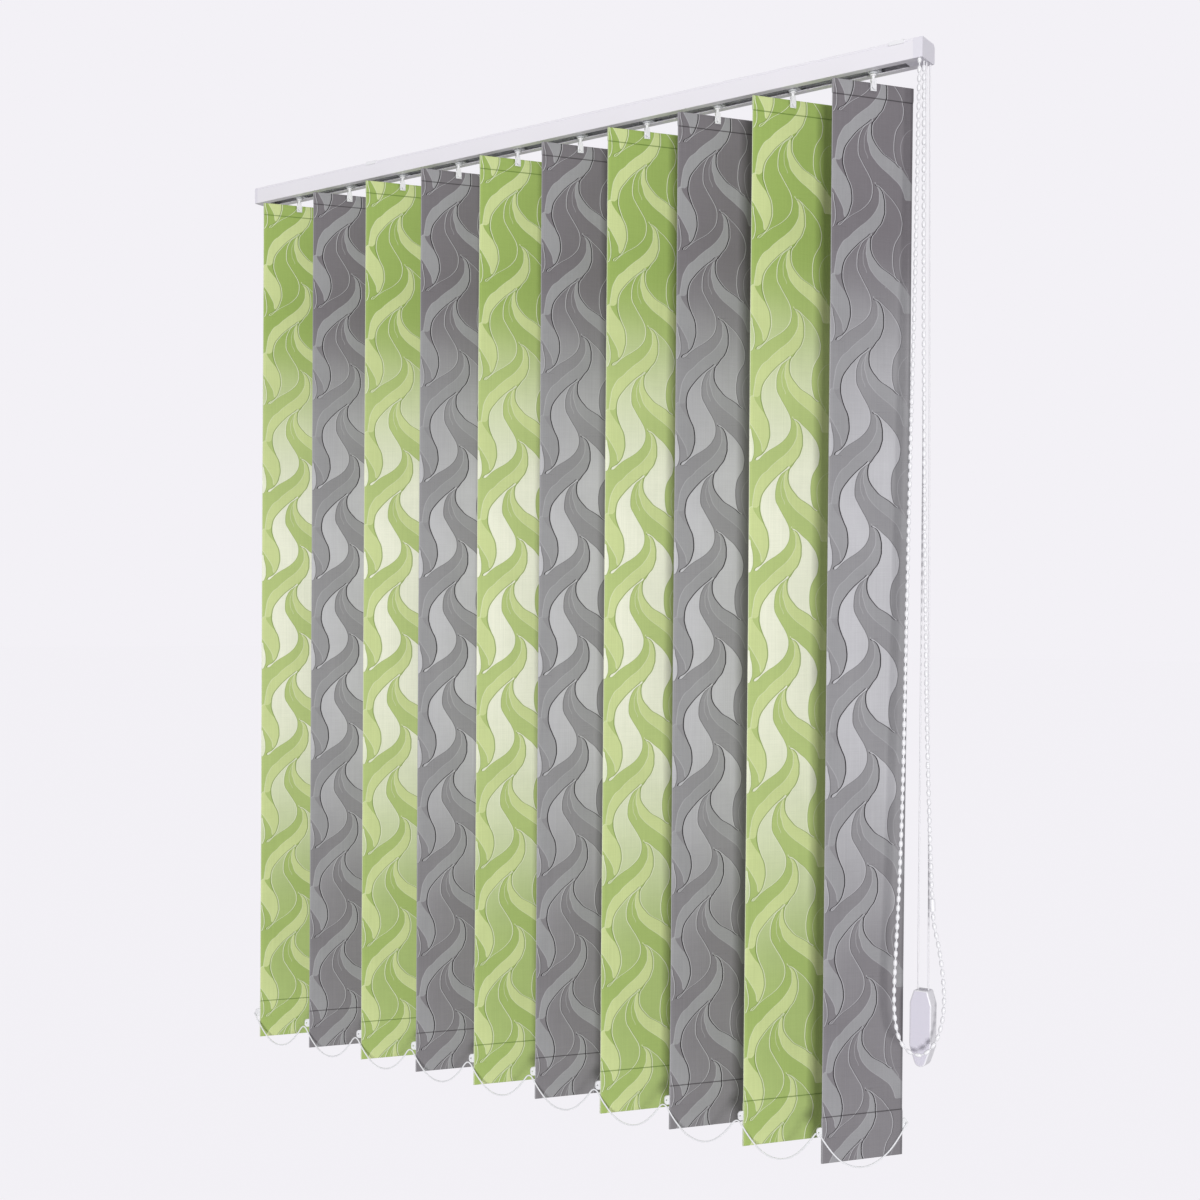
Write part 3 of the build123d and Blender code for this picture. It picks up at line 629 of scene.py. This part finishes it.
def make_hem_chains():
    """The chains between the weight plates' clips, front and rear, and the last slat's span."""
    # Shares of a span along it and of the sag down
    sag = ((0, 0), (0.13, -0.48), (0.31, -0.9), (0.5, -1.03), (0.69, -0.9), (0.87, -0.48))
    past_ear = 2.4
    last = FIRST_SLAT + PITCH * (SLATS - 1)
    for side, name in ((-1, "front_chain"), (1, "rear_chain")):
        out = side * EAR_TIP
        y = out * math.sin(TILT) + side * past_ear
        rows = []
        for i in range(SLATS - 1):
            start = FIRST_SLAT + PITCH * i + out * math.cos(TILT)
            rows += [(start + PITCH * u, y, EAR_Z + CHAIN_SAG * v) for u, v in sag]
        rows.append((last + out * math.cos(TILT), y, EAR_Z))
        line = spline_points([Vector(r) * MM for r in rows])
        chain = tube_mesh(name + "_cord", line, CHAIN_R * MM, CHAIN)
        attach(chain, name)
        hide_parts(name)
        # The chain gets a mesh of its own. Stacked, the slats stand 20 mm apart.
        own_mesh(chain)
    along = Vector((math.cos(TILT), math.sin(TILT), 0))
    plate_face, clear, half_span = 1.3, 0.3, 70.0
    front = Vector((math.sin(TILT), -math.cos(TILT), 0)) * (plate_face + CHAIN_R + clear)
    middle = Vector((last, 0, EAR_Z)) + front
    tail = [(-1.0, 0.0), (-0.78, -0.5), (-0.42, -1.02), (0.06, -1.2), (0.5, -0.92),
            (0.82, -0.42), (1.0, 0.0)]
    points = [(middle + along * half_span * u + Vector((0, 0, CHAIN_SAG * v))) * MM
              for u, v in tail]
    end = nurbs("tail_chain_cord", points, CHAIN_R * MM, CHAIN)
    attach(end, "slat_10")
    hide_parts("tail_chain")


make_bead_chain()
make_draw_cord()
make_hem_chains()


# ---------------------------------------------------------------- slats
PLAIN_ROWS = 144  # of faces down the single layer
JOIN = 3.0  # from a sleeve's stitching to the plain layer's first row
BOW, DRIFT = 0.55, 0.45  # how far the cloth stands off a flat sheet, in mm


def strip_path():
    """The cloth's middle line, (y, z) in mm below the slat's top: a sleeve folded over at the
    top, the single layer and a sleeve folded up at the bottom."""
    a, e = LAYER_Y, SLEEVE_EASE
    top, low = TOP_SLEEVE, LOW_SLEEVE
    back = [(FABRIC, -top), (a - 0.1, -top + e * 0.6), (a, -top + e + 1), (a, -NOTCH_DEPTH),
            (a, -6.0), (a, -2.0), (a - 0.05, -0.9), (a - 0.35, -0.4), (0.35, -0.25)]
    fold = back + [(-y, z) for y, z in reversed(back)]
    fold[-1] = (-0.12, -top)
    start, end = -top - JOIN, -SLAT_DROP + low + JOIN
    plain = [(0.0, start + (end - start) * k / PLAIN_ROWS) for k in range(PLAIN_ROWS + 1)]
    base = -SLAT_DROP
    front = [(-0.12, base + low), (-a + 0.1, base + low - e * 0.6), (-a, base + low - e - 1),
             (-a, base + 44), (-a, base + 32), (-a, base + 20), (-a, base + 9),
             (-a, base + 2.2), (-a + 0.05, base + 0.95), (-a + 0.35, base + 0.4),
             (-0.35, base + 0.25)]
    under = front + [(-y, z) for y, z in reversed(front)]
    under[-1] = (FABRIC, base + low)
    return fold + plain + under


def columns():
    """Across the slat, in mm from its middle, with the notch's edges among them."""
    half, steps = SLAT_WIDTH / 2, 12
    left = [-half + (half - NOTCH_HALF) * k / steps for k in range(steps + 1)]
    return left + [-2.5, 0.0, 2.5] + [-x for x in reversed(left)]


def make_slat(index):
    """One slat in its own frame: X across it, Z down from its top."""
    path, across = strip_path(), columns()
    phase = 1.7 * index
    mesh = bmesh.new()
    grid = []
    for y, z in path:
        level = -z / SLAT_DROP
        hold = (min(1.0, max(0.0, (level - 0.02) / 0.15))
                * min(1.0, max(0.0, (0.95 - level) / 0.12)))  # 0 at both sleeves
        row = []
        for x in across:
            side = x / (SLAT_WIDTH / 2)
            bow = BOW * side * side * math.sin(5.1 * level + phase)
            drift = DRIFT * math.sin(9.0 * level + 2.1 * side + 2 * phase)
            row.append(mesh.verts.new(Vector((x, y + hold * (bow + drift), z)) * MM))
        grid.append(row)
    for j in range(len(grid) - 1):
        z_mid = (path[j][1] + path[j + 1][1]) / 2
        for k in range(len(across) - 1):
            x_mid = (across[k] + across[k + 1]) / 2
            if abs(x_mid) < NOTCH_HALF and z_mid > -NOTCH_DEPTH:
                continue
            mesh.faces.new((grid[j][k], grid[j][k + 1], grid[j + 1][k + 1], grid[j + 1][k]))
    loose = [v for v in mesh.verts if not v.link_faces]
    bmesh.ops.delete(mesh, geom=loose, context="VERTS")
    material = GREEN if index % 2 == 0 else GREY
    cloth = finish_mesh(f"slat_cloth_{index + 1:02d}", mesh, material)
    thick = cloth.modifiers.new("thickness", "SOLIDIFY")
    thick.thickness, thick.offset = FABRIC * MM, 0.0
    cloth.matrix_world = (Matrix.Translation(Vector((FIRST_SLAT + PITCH * index, 0, SLAT_TOP)) * MM)
                          @ Matrix.Rotation(TILT, 4, "Z"))
    number = f"{index + 1:02d}"
    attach(cloth, f"slat_{number}")
    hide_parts(f"slat_{number}")


for i in range(SLATS):
    make_slat(i)


# ---------------------------------------------------------------- stage and light
BACKDROP = linear("F3F1F6")


def make_stage():
    """An even pale studio: the walls of light are dimmer than the backdrop that shows."""
    world = bpy.data.worlds.new("studio")
    bpy.context.scene.world = world
    world.use_nodes = True
    tree = world.node_tree
    background = tree.nodes["Background"]
    background.inputs["Color"].default_value = (*BACKDROP, 1)
    path = tree.nodes.new("ShaderNodeLightPath")
    level = tree.nodes.new("ShaderNodeMapRange")
    tree.links.new(path.outputs["Is Camera Ray"], level.inputs["Value"])
    level.inputs["To Min"].default_value = AMBIENT
    tree.links.new(level.outputs["Result"], background.inputs["Strength"])
    data = bpy.data.meshes.new("floor")
    corners = ((-1, -1), (1, -1), (1, 1), (-1, 1))
    data.from_pydata([(x * FLOOR_HALF, y * FLOOR_HALF, FLOOR_Z) for x, y in corners], [],
                     [(0, 1, 2, 3)])
    floor = link("floor", data)
    floor.visible_diffuse = False
    floor.visible_glossy = False
    n = Nodes("floor_paper")
    n.shader.inputs["Specular IOR Level"].default_value = 0.0
    n.shader.inputs["Emission Strength"].default_value = 1.0
    n.set(Base_Color=(0.01, 0.01, 0.01), Roughness=1.0,
          Emission_Color=tuple(c * 0.99 for c in BACKDROP))
    data.materials.append(n.mat)


def make_key():
    """The one lamp, far off to the right, so that each slat's shadow falls on the next."""
    data = bpy.data.lights.new("key", "AREA")
    data.shape, data.size, data.size_y = "RECTANGLE", KEY_SIDE, KEY_SIDE
    data.energy = KEY_WATTS
    lamp = link("key", data)
    lamp.location = KEY_AT
    lamp.rotation_mode = "QUATERNION"
    lamp.rotation_quaternion = (Vector(KEY_AIM) - Vector(KEY_AT)).to_track_quat("-Z", "Y")


make_stage()
make_key()
bpy.context.scene.view_settings.view_transform = "Standard"
